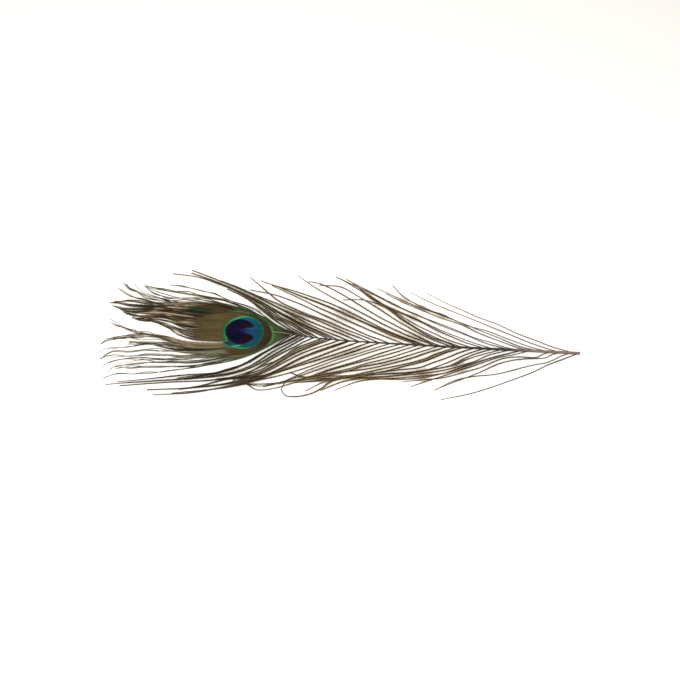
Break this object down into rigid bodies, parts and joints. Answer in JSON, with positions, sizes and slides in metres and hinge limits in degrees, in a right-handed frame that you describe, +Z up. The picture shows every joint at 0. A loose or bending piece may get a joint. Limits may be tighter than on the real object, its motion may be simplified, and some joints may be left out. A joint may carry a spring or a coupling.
{
  "type": "peacock feather",
  "caption": "Cut end of a peacock's tail feather lying face up: a thin tapering shaft, loose slanting barbs on both sides and a dark iridescent eye under a fan of long barbs.",
  "frame": {"origin": "On the flat underside of the shaft, between the quill and the eye, at the mount shaft_underside. z = 0 is the surface the feather lies on.", "axes": "+X runs along the shaft toward the cut quill, so the eye lies at -X. +Y is to the left when looking along +X from above. +Z is up, away from the surface, the side that shows the eye."},
  "size_m": [0.3291, 0.0996, 0.0036],
  "materials": {
    "barb": "dark brown and olive keratin barbs with a dull bronze sheen",
    "shaft": "dark brown horn, paler and pinkish toward the cut quill",
    "eye": "iridescent: navy heart, blue-green oval, bronze band, green outside"
  },
  "bodies": {
    "root": {"feather": "barb"}
  },
  "joints": []
}
